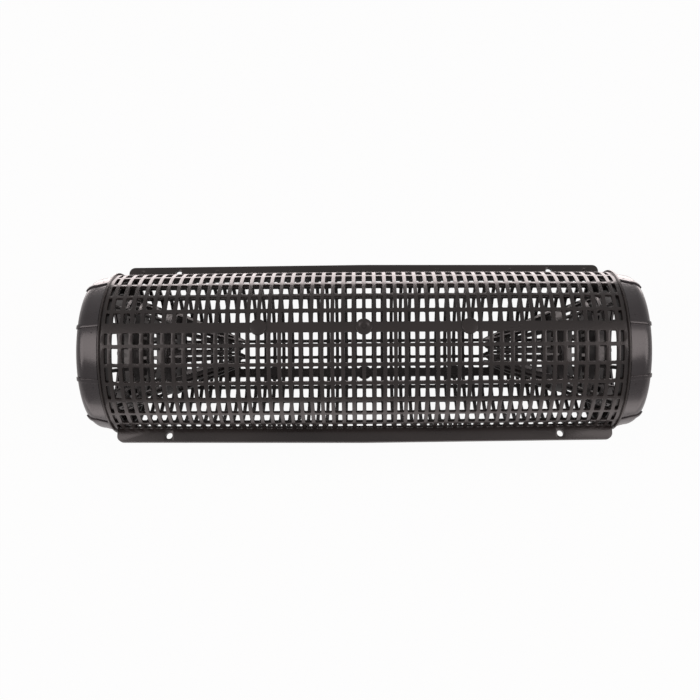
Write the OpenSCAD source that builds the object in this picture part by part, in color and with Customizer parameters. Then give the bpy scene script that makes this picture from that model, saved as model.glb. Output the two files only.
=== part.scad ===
// Minnow trap: two matching lattice half shells, two push-in funnels with
// sprung fingers round the throat, and two ribbed end caps.
// X runs along the trap, Z is up through the pads, and the halves meet at z = 0.

/* [Tube] */
// outer radius of the tube at its middle
tube_r = 54.2; // [40:0.1:80]
// outer radius of the tube at its ends
tube_end_r = 53.3; // [40:0.1:80]
// thickness of the tube wall
wall = 1.9; // [1.2:0.1:4]
// half the length of the two joined shells
tube_half = 167; // [130:1:250]
// hoops on each side of the middle one
hoops_each_side = 24; // [12:1:30]
// width of a hoop
hoop_w = 2.4; // [1.5:0.1:3]
// width of the solid band at a tube end
end_band_w = 4; // [2:0.1:8]
// width of the narrow slot beside the end band
end_slot_w = 2.2; // [1:0.1:5]
// height of the thin collar on the end band
collar_h = 1.3; // [0.5:0.1:3]
// width of the thin collar
collar_w = 1.2; // [0.8:0.1:1.8]

/* [Lengthwise bars] */
// width of the spine that carries the pads
spine_w = 6.5; // [3:0.1:12]
// angle of the first thin bar from the spine
first_bar_angle = 12.5; // [9:0.5:16]
// angle from one thin bar to the next
bar_step = 13; // [8:0.5:14]
// thin bars on each side of the spine
bars_each_side = 6; // [3:1:6]
// width of a thin bar
bar_w = 2.2; // [1.5:0.1:3]
// height of the solid strip of wall above the flange
root_h = 0.35; // [0.2:0.05:2]

/* [Pads] */
// diameter of a pad
pad_d = 10.3; // [8:0.1:16]
// distance from the middle pad to each outer one
pad_spacing = 66.5; // [40:0.5:90]
// how far the flat pad faces stand above the middle of the tube
pad_clear = 0.8; // [0.2:0.1:2]
// diameter of the dished gate mark in the middle pad
gate_d = 7; // [4:0.1:7.5]
// depth of the dished gate mark
gate_depth = 0.5; // [0.1:0.05:0.8]
// diameter of the gate nub inside the dish
gate_nub_d = 3; // [1:0.1:3.5]

/* [Flanges] */
// distance from the tube to the flange edge at the middle
flange_reach = 9; // [8:0.1:20]
// how much less far the flange reaches at its ends
flange_bow = 0.3; // [0:0.1:1]
// distance from the tube end to the flange end
flange_inset = 2.5; // [2:0.5:20]
// thickness of one flange
flange_t = 2; // [1.2:0.1:4]
// radius of the flange corners
flange_corner = 4; // [1:0.5:6]
// diameter of the line holes
hole_d = 4.5; // [3:0.1:5]
// distance from the flange end to a line hole
hole_inset = 34.5; // [20:0.5:48]
// distance from the tube to the middle of a line hole
hole_reach = 4.4; // [3:0.1:5]

/* [Snap pegs] */
// diameter of a snap peg and of its hole
peg_d = 2.6; // [1.5:0.1:3.5]
// pegs on each side of the middle one
pegs_each_side = 3; // [1:1:3]
// distance from the flange end to the outmost peg
peg_inset = 9.1; // [5:0.1:14]
// distance from the tube to the middle of a peg
peg_reach = 4.4; // [3:0.1:5]
// how far a peg stands through the other flange
peg_proud = 0.7; // [0.2:0.1:2]
// how much narrower the end of a peg is
peg_taper = 0.8; // [0.2:0.1:1]

/* [Push-in fit] */
// play all round the plug in the tube end
plug_play = 0.06; // [0.01:0.01:0.1]
// length of the plug inside the tube end
plug_len = 7; // [4:0.5:14]
// play all round between the cap and its sleeve
cap_play = 0.08; // [0.01:0.01:0.1]
// gap along the trap between moving faces
face_gap = 0.3; // [0.2:0.05:0.5]

/* [Caps] */
// how much smaller the cap's radius is than the tube end's
cap_step = 0.5; // [0:0.1:2]
// length of a cap beyond the tube end, up to the round of its shoulder
cap_len = 16.4; // [15:0.1:40]
// how much the radius of a cap shrinks up to its shoulder
cap_taper = 1.8; // [0:0.1:2.5]
// wall of a cap over its sleeve
cap_wall = 3; // [2.5:0.1:5]
// radius of the rounded shoulder
shoulder_r = 8.4; // [7:0.1:9]
// angle round the shoulder where the open mouth starts
mouth_angle = 62; // [50:1:75]
// thickness of the shoulder
lip_t = 2.2; // [1.5:0.1:2.6]
// distance from the shoulder back to the step inside the cap
step_back = 2; // [1:0.1:3]
// grip ribs round a cap
grip_count = 9; // [4:1:18]
// width of a grip rib
grip_w = 3; // [1:0.1:5]
// height of a grip rib
grip_h = 0.9; // [0.4:0.1:1.5]
// angle of the first grip rib from the spine
grip_start = 3.3; // [0:0.1:40]
// radius of the small ejector marks on the cap
pip_r = 0.8; // [0.3:0.1:1.2]
// height of the small ejector marks
pip_h = 0.25; // [0.1:0.05:0.5]
// angle from a grip rib to the ejector mark beside it
pip_angle = 5.4; // [4:0.1:9]
// distance from the open edge of the cap to its ejector marks
pip_in = 4.4; // [2:0.1:6]
// height of the snap bead that holds the cap
bead_h = 0.6; // [0.2:0.1:1]
// width of the snap bead
bead_w = 1.6; // [1:0.1:3]

/* [Funnels] */
// funnel radius at the finger tips
tip_r = 8; // [7:0.5:12]
// distance from the tube end to the finger tips
tip_in = 85; // [70:1:110]
// distance from the tube end to the finger hinges
hinge_in = 39; // [34:0.5:46]
// distance from the edge of the funnel's front face to the cone's middle
rim_in = 1.66; // [1.2:0.02:4]
// thickness of the funnel wall
funnel_wall = 1.8; // [1.2:0.1:2.2]
// lengthwise ribs for each finger
ribs_per_finger = 2; // [1:1:3]
// width of a funnel rib
rib_w = 2.2; // [1.5:0.1:3]
// width of the throat ring
throat_w = 5.2; // [3:0.1:6]
// width of a narrow funnel ring
ring_w = 1.8; // [1.2:0.1:3]
// distance from the tube end to the inmost narrow ring
first_ring_in = 27.4; // [25:0.1:31]
// distance from the tube end to the wide ring
band_in = 21; // [18:0.1:23]
// width of the wide ring
band_w = 3.5; // [2:0.1:5]
// distance from the tube end to the narrow ring next to the wide one
second_ring_in = 11.9; // [9:0.1:13.5]
// distance from the tube end to the outmost narrow ring
third_ring_in = 2.4; // [1:0.1:5]
// distance from the tube end out to the solid mouth of the funnel
mouth_out = 3; // [2:0.1:4.5]
// thickness of the sleeve that carries the cap
sleeve_t = 1.7; // [1.2:0.1:3]
// thickness of the web from the sleeve to the cone
web_t = 1.8; // [1.2:0.1:3]
// angle round the shoulder where the funnel's front face starts
nose_angle = 42; // [30:1:48]

/* [Fingers] */
// space between two neighbouring fingers at their roots
gap_at_root = 1.6; // [1.4:0.1:3]
// space between two neighbouring fingers at their tips
gap_at_tip = 3.6; // [1:0.1:4]
// thickness of a finger
finger_t = 1.6; // [1:0.1:1.9]
// width of a finger's rails at its root
rail_root_w = 4; // [1.5:0.1:5]
// width of a finger's rails at its tip
rail_tip_w = 1; // [1:0.1:2]
// rungs between the rails of a finger
rung_count = 2; // [1:1:5]
// width of a rung
rung_w = 1.5; // [0.8:0.1:3]
// length of the solid part at a finger's root
root_len = 1.8; // [1.5:0.1:5]
// length of the solid part at a finger's tip
tip_len = 7.2; // [5:0.1:12]
// length of the pointed end of a finger
point_len = 2.9; // [1:0.1:4]
// radius of the rolled root that a finger turns on
root_r = 1; // [1:0.05:1.5]
// play all round the rolled root
root_play = 0.05; // [0.01:0.01:0.1]

/* [Hidden] */
$fn = 96;
// how deep a raised form is sunk in what carries it
sink = 0.5;
// radii
wide_r = max(tube_r, tube_end_r);
slim_r = min(tube_r, tube_end_r) - wall;
bore_r = tube_end_r - wall;
plug_r = bore_r - plug_play;
cap_r = tube_end_r - cap_step;
cap_bore = cap_r - cap_wall;
cap_front_r = cap_r - cap_taper;
sleeve_r = cap_bore - cap_play;
nose_r = shoulder_r - lip_t - face_gap;
shoulder_mid = cap_front_r - shoulder_r;
pad_z = tube_r + pad_clear;
// places along the trap, counted from its middle
cap_x = tube_half + face_gap;
shoulder_x = tube_half + cap_len - shoulder_r;
step_x = shoulder_x - step_back;
sleeve_end = step_x - face_gap;
bead_x = (tube_half + sleeve_end - bead_w) / 2;
front_x = shoulder_x + nose_r * sin(nose_angle);
hinge_x = tube_half - hinge_in;
tip_x = tube_half - tip_in;
mouth_x = tube_half + mouth_out;
flange_half = tube_half - flange_inset;
hole_x = flange_half - hole_inset;
// places across the trap, counted from its axis
flange_mid = tube_r + flange_reach;
flange_end = tube_end_r + flange_reach - flange_bow;
// patterns
peg_pitch = (flange_half - peg_inset) / pegs_each_side;
hoop_pitch = (tube_half - end_band_w - end_slot_w - hoop_w / 2) / hoops_each_side;
last_hoop = hoops_each_side * hoop_pitch + hoop_w / 2;
window_w = hoop_pitch - hoop_w;
barrel_x = [for (i = [0:3]) i * floor(hoops_each_side / 3) * hoop_pitch];
barrel = [for (x = barrel_x) shell_r(x)];
hole_y = shell_r(hole_x) + hole_reach;
root_angle = 90 - asin((flange_t + root_h) / tube_end_r);
spine_half = asin(spine_w / 2 / tube_r);
bar_half = asin(bar_w / 2 / tube_r);
// the funnel's cone, and the fingers that carry it on
cone_slope = (shoulder_mid + nose_r * cos(nose_angle) - rim_in - tip_r) / (front_x - tip_x);
finger_count = 8;
rib_count = finger_count * ribs_per_finger;
rib_step = 360 / rib_count;
tilt = atan(cone_slope);
finger_len = (hinge_x - tip_x) / cos(tilt);
finger_w = 2 * finger_half(0);
slot_end = finger_len - tip_len;
slot_len = (slot_end - root_len - rung_count * rung_w) / (rung_count + 1);

// outer radius of the tube's barrel at a distance from the trap's middle
function shell_r(x) = tube_r - (tube_r - tube_end_r) * min(pow(x / (hoops_each_side * hoop_pitch), 2), 1);
// distance of a snap peg from the trap's axis, seen from above
function peg_y(x) = shell_r(x) + peg_reach;
// points of [radius, x] along the tube at a depth below its outer surface
function tube_side(depth) = concat(
  [[tube_end_r - depth, -tube_half]],
  [for (i = [3:-1:1]) [barrel[i] - depth, -barrel_x[i]]],
  [for (i = [0:3]) [barrel[i] - depth, barrel_x[i]]],
  [[tube_end_r - depth, tube_half]]
);
// the same points in the other order
function turned_round(list) = [for (i = [len(list) - 1:-1:0]) list[i]];
// points of [radius, x] round the cap's shoulder between two angles
function shoulder(r, a0, a1) = [
  for (i = [0:6])
    let (a = a0 + (a1 - a0) * i / 6)
      [shoulder_mid + r * cos(a), shoulder_x + r * sin(a)]
];
// outer radius of the cap's barrel at a distance from the trap's middle
function cap_side(x) = cap_r - cap_taper * (x - cap_x) / (shoulder_x - cap_x);
// funnel radius at a distance from the trap's middle
function cone_r(x) = tip_r + (x - tip_x) * cone_slope;
// start angle of a row of windows, counted from the spine
function row_start(i) = i == 0 ? spine_half : first_bar_angle + (i - 1) * bar_step + bar_half;
// end angle of a row of windows
function row_end(i) = i == bars_each_side ? root_angle : first_bar_angle + i * bar_step - bar_half;
// space between two neighbouring fingers at a distance from their roots
function finger_gap(u) = gap_at_root + (gap_at_tip - gap_at_root) * u / finger_len;
// half width of a finger at a distance from its root
function finger_half(u) = cone_r(hinge_x - u * cos(tilt)) * tan(180 / finger_count) - finger_gap(u) / 2;
// half width of a finger's slot at a distance from its root
function slot_half(u) = finger_half(u) - rail_root_w + (rail_root_w - rail_tip_w) * u / finger_len;
// the window rows of a funnel, as start and end distances
window_rows = [
  [hinge_x + throat_w, tube_half - first_ring_in],
  [tube_half - first_ring_in + ring_w, tube_half - band_in],
  [tube_half - band_in + band_w, tube_half - second_ring_in],
  [tube_half - second_ring_in + ring_w, tube_half - third_ring_in],
  [tube_half - third_ring_in + ring_w, mouth_x]
];

// A flat outline of [radius, x] turned about the X axis from one angle to
// another, with angles counted from the top
module turned(a0, a1) {
  rotate([0, 90, 0])
    rotate([0, 0, 180 + a0])
      rotate_extrude(angle = a1 - a0)
        children();
}

// A flat outline of [radius, x] turned right round the X axis
module lathed() {
  rotate([0, 90, 0])
    rotate_extrude()
      children();
}

// One window cutter in each row, on both sides of the spine
module window_ring(x, w) {
  for (i = [0:bars_each_side], s = [0, 1])
    turned(s == 0 ? row_start(i) : -row_end(i), s == 0 ? row_end(i) : -row_start(i))
      translate([slim_r - 1, x])
        square([wide_r - slim_r + 2, w]);
}

// All the windows of one half shell
module windows() {
  for (k = [-hoops_each_side:hoops_each_side - 1])
    window_ring(k * hoop_pitch + hoop_w / 2, window_w);
  window_ring(last_hoop, end_slot_w);
  window_ring(-last_hoop - end_slot_w, end_slot_w);
}

// Flange outline seen from above: slightly bowed, with rounded outer corners
module flange_outline() {
  c = flange_corner;
  x = flange_half;
  y = flange_end;
  arc = [for (a = [0:15:90]) [x - c + c * cos(a), y - c + c * sin(a)]];
  back = [for (i = [6:-1:0]) [-arc[i][0], arc[i][1]]];
  polygon(concat([[x, slim_r]], arc, [[0, flange_mid]], back, [[-x, slim_r]]));
}

// Both flanges of one half, with the mating holes on one side
module flanges() {
  difference() {
    union() {
      linear_extrude(flange_t) flange_outline();
      linear_extrude(flange_t) mirror([0, 1]) flange_outline();
    }
    for (x = [-hole_x, hole_x], y = [-hole_y, hole_y])
      translate([x, y, -1])
        cylinder(h = flange_t + 2, d = hole_d);
    for (k = [-pegs_each_side:pegs_each_side])
      translate([k * peg_pitch, peg_y(k * peg_pitch), -1])
        cylinder(h = flange_t + 2, d = peg_d);
    lathed()
      polygon(concat([[0, -tube_half]], tube_side(wall / 2), [[0, tube_half]]));
  }
}

// Snap peg that goes down through the other half's flange
module peg(x) {
  translate([x, -peg_y(x), 0]) {
    translate([0, 0, -flange_t])
      cylinder(h = flange_t + sink, d = peg_d);
    translate([0, 0, -flange_t - peg_proud])
      cylinder(h = peg_proud, d1 = peg_d - peg_taper, d2 = peg_d);
  }
}

// Pad on the spine, sunk to the middle of the wall
module pad(x) {
  foot = shell_r(x) - wall / 2;
  translate([x, 0, foot])
    cylinder(h = pad_z - foot, d = pad_d);
}

// One half shell, drawn as the upper one
module half_shell() {
  difference() {
    union() {
      difference() {
        turned(-90, 90)
          polygon(concat(tube_side(0), turned_round(tube_side(wall))));
        windows();
      }
      for (x = [-tube_half, tube_half - collar_w])
        turned(-90, 90)
          translate([tube_end_r - wall / 2, x])
            square([collar_h + wall / 2, collar_w]);
      flanges();
      for (k = [-pegs_each_side:pegs_each_side])
        peg(k * peg_pitch);
      for (k = [-1:1])
        pad(k * pad_spacing);
    }
    translate([0, 0, pad_z - gate_depth])
      difference() {
        cylinder(h = gate_depth + 1, d = gate_d);
        translate([0, 0, -1])
          cylinder(h = gate_depth + 3, d = gate_nub_d);
      }
  }
}

// Outline of the cap's wall: a tapered barrel that rolls over to the mouth
module cap_outline() {
  polygon(concat(
    [[cap_bore, cap_x], [cap_r, cap_x]],
    shoulder(shoulder_r, 0, mouth_angle),
    shoulder(shoulder_r - lip_t, mouth_angle, 0),
    [[cap_front_r - lip_t, step_x], [cap_bore, step_x]]
  ));
}

// Outline of a grip rib that follows the barrel and the shoulder
module grip_outline() {
  polygon(concat(
    [[cap_r - sink, cap_x], [cap_r + grip_h, cap_x]],
    shoulder(shoulder_r + grip_h, 0, mouth_angle - 5),
    shoulder(shoulder_r - sink, mouth_angle - 5, 0)
  ));
}

// One end cap, drawn on the right
module cap(start) {
  grip_half = asin(grip_w / 2 / cap_r);
  difference() {
    union() {
      lathed()
        cap_outline();
      for (k = [0:grip_count - 1])
        rotate([start + k * 360 / grip_count, 0, 0])
          turned(-grip_half, grip_half)
            grip_outline();
      for (k = [0:grip_count - 1])
        rotate([start + k * 360 / grip_count + (k % 2 == 0 ? -pip_angle : pip_angle), 0, 0])
          translate([cap_x + pip_in, 0, cap_side(cap_x + pip_in) - sink])
            cylinder(h = sink + pip_h, r = pip_r);
    }
    lathed()
      translate([cap_bore - sink, bead_x - face_gap])
        square([bead_h + sink, bead_w + 2 * face_gap]);
  }
}

// One funnel with its plug and sleeve, drawn on the right
module funnel() {
  x0 = hinge_x + face_gap;
  h = funnel_wall / 2;
  bead_r = sleeve_r + bead_h - cap_play;
  bead_side = bead_w / 5;
  web_x = sleeve_end - web_t;
  plug_x = tube_half - plug_len;
  step = tube_half - face_gap;
  difference() {
    lathed()
      polygon(concat(
        [[cone_r(x0) - h, x0], [cone_r(x0) + h, x0]],
        [[cone_r(web_x) + h, web_x], [sleeve_r - sleeve_t, web_x]],
        [[sleeve_r - sleeve_t, plug_x], [plug_r, plug_x], [plug_r, step], [sleeve_r, step]],
        [[sleeve_r, bead_x], [bead_r, bead_x + bead_side]],
        [[bead_r, bead_x + bead_w - bead_side], [sleeve_r, bead_x + bead_w]],
        [[sleeve_r, sleeve_end], [shoulder_mid + nose_r, sleeve_end]],
        shoulder(nose_r, 0, nose_angle),
        [[cone_r(front_x) - h, front_x]]
      ));
    for (w = window_rows)
      for (k = [0:rib_count - 1])
        rotate([k * rib_step, 0, 0])
          funnel_window(w[0], w[1]);
    for (k = [0:finger_count - 1])
      rotate([k * 360 / finger_count, 0, 0])
        translate([hinge_x, 0, cone_r(hinge_x)])
          rotate([90, 0, 0])
            cylinder(h = finger_w + 2 * face_gap, r = root_r + root_play, center = true);
  }
}

// Cutter for one funnel window between two neighbouring ribs
module funnel_window(x0, x1) {
  half = rib_step / 2 - asin(rib_w / 2 / cone_r(x0));
  turned(-half, half)
    polygon([
      [cone_r(x0) - funnel_wall, x0], [cone_r(x0) + funnel_wall, x0],
      [cone_r(x1) + funnel_wall, x1], [cone_r(x1) - funnel_wall, x1]
    ]);
}

// Flat outline of a finger: two rails that run into one point, with rungs
module finger_outline() {
  neck = finger_len - point_len;
  difference() {
    polygon([
      [0, -finger_half(0)], [0, finger_half(0)], [neck, finger_half(neck)],
      [finger_len, 0], [neck, -finger_half(neck)]
    ]);
    for (i = [0:rung_count]) {
      u0 = root_len + i * (slot_len + rung_w);
      u1 = u0 + slot_len;
      polygon([
        [u0, -slot_half(u0)], [u1, -slot_half(u1)],
        [u1, slot_half(u1)], [u0, slot_half(u0)]
      ]);
    }
  }
}

// One finger of the right funnel, turned to its place round the throat
module finger(k) {
  rotate([(k - 1) * 360 / finger_count, 0, 0])
    translate([hinge_x, 0, cone_r(hinge_x)])
      rotate([0, 180 - tilt, 0])
        union() {
          translate([0, 0, -finger_t / 2])
            linear_extrude(finger_t)
              finger_outline();
          rotate([90, 0, 0])
            cylinder(h = finger_w, r = root_r, center = true);
        }
}

module upper_shell() {
  color("#3b3635") half_shell();
}

module lower_shell() {
  color("#3b3635") rotate([180, 0, 0]) half_shell();
}

module right_cap() {
  color("#4a4443") cap(-grip_start);
}

module left_cap() {
  color("#4a4443") rotate([0, 0, 180]) cap(grip_start);
}

module right_funnel() {
  color("#332f2e") funnel();
}

module left_funnel() {
  color("#332f2e") rotate([0, 0, 180]) funnel();
}

module right_finger(k) {
  color("#2c2928") finger(k);
}

module left_finger(k) {
  color("#2c2928") rotate([0, 0, 180]) finger(k);
}

upper_shell();
lower_shell();
left_cap();
right_cap();
left_funnel();
right_funnel();
left_finger(1);  // left_finger_1
left_finger(2);  // left_finger_2
left_finger(3);  // left_finger_3
left_finger(4);  // left_finger_4
left_finger(5);  // left_finger_5
left_finger(6);  // left_finger_6
left_finger(7);  // left_finger_7
left_finger(8);  // left_finger_8
right_finger(1);  // right_finger_1
right_finger(2);  // right_finger_2
right_finger(3);  // right_finger_3
right_finger(4);  // right_finger_4
right_finger(5);  // right_finger_5
right_finger(6);  // right_finger_6
right_finger(7);  // right_finger_7
right_finger(8);  // right_finger_8
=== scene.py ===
# %% [markdown]
# A minnow trap is a tube of moulded plastic that small fish swim into and can't
# find their way out of. It could be drawn as one mesh, but then nothing would
# come apart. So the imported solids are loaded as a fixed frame, and each step
# below builds a finer moulding that stands for one of them and moves with it.
# Lengths are metres, X runs along the trap and Z points up through its pads.

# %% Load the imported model
import math

import bmesh
import bpy
from mathutils import Matrix, Vector


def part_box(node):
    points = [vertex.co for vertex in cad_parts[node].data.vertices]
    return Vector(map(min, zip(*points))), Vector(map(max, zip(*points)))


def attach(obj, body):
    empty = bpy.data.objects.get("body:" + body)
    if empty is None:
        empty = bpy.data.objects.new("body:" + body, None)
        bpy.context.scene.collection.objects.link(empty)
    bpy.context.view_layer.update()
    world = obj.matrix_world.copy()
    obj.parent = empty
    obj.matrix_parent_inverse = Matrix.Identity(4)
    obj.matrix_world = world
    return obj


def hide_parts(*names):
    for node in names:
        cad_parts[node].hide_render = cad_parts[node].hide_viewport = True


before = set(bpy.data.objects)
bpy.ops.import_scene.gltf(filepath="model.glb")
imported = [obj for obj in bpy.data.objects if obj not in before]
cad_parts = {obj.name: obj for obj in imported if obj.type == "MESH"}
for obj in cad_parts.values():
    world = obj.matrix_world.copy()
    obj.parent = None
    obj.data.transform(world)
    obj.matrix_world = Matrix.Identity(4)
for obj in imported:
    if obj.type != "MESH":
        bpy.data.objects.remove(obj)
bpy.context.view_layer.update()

# %% [markdown]
# The finished pieces have to fill the same space as the solids. Their main
# sizes could be typed in again, but two copies of a size drift apart, so they
# are read from the corners of the solids. Small sizes, such as the corner of a
# window, are the moulder's choice and are named in the step that needs them.

# %% Sizes taken from the solids
MM = 0.001
shell_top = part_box("upper_shell")[1]
TUBE_HALF = shell_top.x
FLANGE_MID = shell_top.y
PAD_Z = shell_top.z
CAP_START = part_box("right_cap")[0].x
print("tube half", round(TUBE_HALF, 4), "flange", round(FLANGE_MID, 4), "pad", round(PAD_Z, 4))

# %% [markdown]
# The photograph looks down on the trap, a little from the front and square to
# its length. A camera without perspective would be simpler, but in the picture
# near hoops stand wider apart than far ones, and only a pinhole at a real
# distance gives that. Its height, roll and distance were fitted to the trap's
# outline, and the lens shift puts the trap where the photograph has it.

# %% Camera at the photograph's angle
CAMERA_ELEVATION = math.radians(73.1)
CAMERA_ROLL = math.radians(-0.38)
CAMERA_DISTANCE = 0.611
CAMERA_SIDE = 0.8 * MM
CAMERA_NEAREST = 10 * MM
SENSOR_WIDTH = 36
FOCAL_PIXELS = 891.7
PICTURE_PIXELS = 700
CENTRE_X, CENTRE_Y = 365.4, 351.5

back = Vector((0, -math.cos(CAMERA_ELEVATION), math.sin(CAMERA_ELEVATION)))
level = Vector((1, 0, 0))
upright = back.cross(level)
right = level * math.cos(CAMERA_ROLL) + upright * math.sin(CAMERA_ROLL)
up = upright * math.cos(CAMERA_ROLL) - level * math.sin(CAMERA_ROLL)
stand = Matrix.Translation(back * CAMERA_DISTANCE + right * CAMERA_SIDE)

camera = bpy.data.objects.new("camera", bpy.data.cameras.new("camera"))
bpy.context.scene.collection.objects.link(camera)
bpy.context.scene.camera = camera
camera.matrix_world = stand @ Matrix((right, up, back)).transposed().to_4x4()
camera.data.sensor_width = SENSOR_WIDTH
camera.data.lens = FOCAL_PIXELS / PICTURE_PIXELS * SENSOR_WIDTH
camera.data.shift_x = -(CENTRE_X - PICTURE_PIXELS / 2) / PICTURE_PIXELS
camera.data.shift_y = (CENTRE_Y - PICTURE_PIXELS / 2) / PICTURE_PIXELS
camera.data.clip_start = CAMERA_NEAREST
print("lens", round(camera.data.lens, 2), "mm at", CAMERA_DISTANCE, "m")

# %% [markdown]
# Small black goods are photographed on a white sweep of paper. A painted
# backdrop would do, but a real surface also takes the trap's shadow. Its
# material starts as matt paper. A helper makes the empty node tree that this
# material and all the later ones start from.

# %% Matt white paper
PAPER_WHITE = (0.86, 0.86, 0.86, 1)


def node_material(name):
    """A new material with an empty node tree, and its output node."""
    material = bpy.data.materials.new(name)
    material.use_nodes = True
    tree = material.node_tree
    tree.nodes.clear()
    return material, tree, tree.nodes.new("ShaderNodeOutputMaterial")


sweep, sweep_tree, sweep_out = node_material("white_sweep")
paper = sweep_tree.nodes.new("ShaderNodeBsdfDiffuse")
paper.inputs["Color"].default_value = PAPER_WHITE
print("material:", sweep.name)

# %% [markdown]
# In the picture the paper is pure white, and yet the plastic isn't flooded with
# light. Stronger lamps would whiten both. The Light Path node lets a shader ask
# what kind of ray has met it instead. The camera's ray is shown nearly plain
# white, with just enough of the paper left for a faint shadow. A ray that left
# a glossy or a clear surface gets less of the white, and any other ray none.

# %% Plain white for chosen rays
WHITE = (1, 1, 1, 1)
PAPER_TO_CAMERA, PAPER_TO_MIRROR = 0.96, 0.35


def white_share(tree, camera_share, mirror_share):
    """How much plain white a ray is shown: a camera ray, or one off a shiny or clear thing."""
    path = tree.nodes.new("ShaderNodeLightPath")
    mirrored = tree.nodes.new("ShaderNodeMath")
    mirrored.operation = "MAXIMUM"
    tree.links.new(path.outputs["Is Glossy Ray"], mirrored.inputs[0])
    tree.links.new(path.outputs["Is Transmission Ray"], mirrored.inputs[1])
    weaker = tree.nodes.new("ShaderNodeMath")
    weaker.operation = "MULTIPLY"
    weaker.inputs[1].default_value = mirror_share
    tree.links.new(mirrored.outputs[0], weaker.inputs[0])
    total = tree.nodes.new("ShaderNodeMath")
    total.operation = "MULTIPLY_ADD"
    total.inputs[1].default_value = camera_share
    tree.links.new(path.outputs["Is Camera Ray"], total.inputs[0])
    tree.links.new(weaker.outputs[0], total.inputs[2])
    return total.outputs[0]


def show_white(tree, usual, white, out, share):
    """Mixes a tree's usual shader with its white one by the share that a ray is shown."""
    mix = tree.nodes.new("ShaderNodeMixShader")
    tree.links.new(share, mix.inputs["Fac"])
    tree.links.new(usual.outputs[0], mix.inputs[1])
    tree.links.new(white.outputs[0], mix.inputs[2])
    tree.links.new(mix.outputs[0], out.inputs["Surface"])


glow = sweep_tree.nodes.new("ShaderNodeEmission")
glow.inputs["Color"].default_value = WHITE
paper_share = white_share(sweep_tree, PAPER_TO_CAMERA, PAPER_TO_MIRROR)
show_white(sweep_tree, paper, glow, sweep_out, paper_share)
print("nodes in the paper's material:", len(sweep_tree.nodes))

# %% [markdown]
# The trap lies on its lower pads, so the paper is level with them. A plane from
# the Add menu would then have to be moved and scaled.

# %% Floor
FLOOR_Z = -PAD_Z
FLOOR_HALF = 3.0

sheet = bmesh.new()
bmesh.ops.create_grid(sheet, x_segments=1, y_segments=1, size=FLOOR_HALF)
bmesh.ops.translate(sheet, vec=(0, 0, FLOOR_Z), verts=sheet.verts)
floor_mesh = bpy.data.meshes.new("floor")
sheet.to_mesh(floor_mesh)
sheet.free()
floor_mesh.materials.append(sweep)
floor = bpy.data.objects.new("floor", floor_mesh)
bpy.context.scene.collection.objects.link(floor)
print("floor at", round(FLOOR_Z, 4), "m")

# %% [markdown]
# The room gives a weak fill, so that the dark side of a bar isn't lost. A
# picture of a studio could light it too, but one plain colour is enough for
# plastic. The fill is a little warm, as the lamps are. The camera and the
# mirror rays see white here as well, so the floor's edge hardly shows.

# %% World
WARM = (1, 0.89, 0.88, 1)
FILL_STRENGTH = 0.22
WALL_TO_CAMERA, WALL_TO_MIRROR = 1.0, 0.45

world = bpy.data.worlds.new("studio")
bpy.context.scene.world = world
world.use_nodes = True
room = world.node_tree
room.nodes.clear()
room_out = room.nodes.new("ShaderNodeOutputWorld")
fill = room.nodes.new("ShaderNodeBackground")
fill.inputs["Color"].default_value = WARM
fill.inputs["Strength"].default_value = FILL_STRENGTH
seen = room.nodes.new("ShaderNodeBackground")
seen.inputs["Color"].default_value = WHITE
show_white(room, fill, seen, room_out, white_share(room, WALL_TO_CAMERA, WALL_TO_MIRROR))
print("fill strength", FILL_STRENGTH)

# %% [markdown]
# Two wide lamps hang above the trap, one beyond each end. Small lamps would put
# a hard glint on every bar, while a wide one is mirrored as a soft patch, which
# shows how round the caps are. Each is a rectangular area light, turned to face
# the middle of the trap.

# %% Overhead softboxes
SOFTBOX_X, SOFTBOX_Y, SOFTBOX_Z = 1.1, -0.12, 1.05
SOFTBOX_SIZE = (0.85, 1.3)
SOFTBOX_WATTS = 9.5


def area_lamp(name, size, watts, place):
    """A warm rectangular lamp at a place, given as a matrix."""
    light = bpy.data.lights.new(name, "AREA")
    light.shape = "RECTANGLE"
    light.size, light.size_y = size
    light.energy = watts
    light.color = WARM[:3]
    lamp = bpy.data.objects.new(name, light)
    bpy.context.scene.collection.objects.link(lamp)
    lamp.matrix_world = place
    return lamp


for name, side in (("overhead_left", -1), ("overhead_right", 1)):
    hung = Vector((side * SOFTBOX_X, SOFTBOX_Y, SOFTBOX_Z))
    facing = (-hung).to_track_quat("-Z", "Y").to_matrix().to_4x4()
    area_lamp(name, SOFTBOX_SIZE, SOFTBOX_WATTS, Matrix.Translation(hung) @ facing)
    print(name, SOFTBOX_WATTS, "W")

# %% [markdown]
# Seen from above, the steep sides of the tube and the caps mirror the table
# beside them and not the lamps overhead. That draws the pale band along the
# far side. One white floor could only be as bright in front as behind, so flat
# lights lie on it, hidden from the camera: a weak one close behind the trap, a
# stronger one further back, and a faint one in front. Each is given as the
# brightness of its surface, and the power follows from its area.

# %% Lit panels on the table
PANEL_LIFT = 1 * MM


def flat_panel(name, low_y, high_y, half_x, radiance):
    """A lit table panel beside the trap: it shines upwards and the camera doesn't see it."""
    width, depth = 2 * half_x, high_y - low_y
    middle = Matrix.Translation((0, (low_y + high_y) / 2, FLOOR_Z + PANEL_LIFT))
    upwards = Matrix.Rotation(math.pi, 4, "X")
    panel = area_lamp(name, (width, depth), radiance * math.pi * width * depth, middle @ upwards)
    panel.visible_camera = False
    print(name, round(width, 2), "by", round(depth, 2), "m")


flat_panel("table_near", low_y=0.105, high_y=0.2, half_x=0.29, radiance=2.6)
flat_panel("table_back", low_y=0.2, high_y=1.2, half_x=0.29, radiance=5.0)
flat_panel("table_front", low_y=-0.9, high_y=-0.13, half_x=0.36, radiance=1.2)

# %% [markdown]
# Blender's usual view transform bends the bright tones, as film does, and would
# turn the white paper grey. The exposure could make up for that, but the
# Standard transform is plainer: it shows each tone as the shaders give it.

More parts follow.
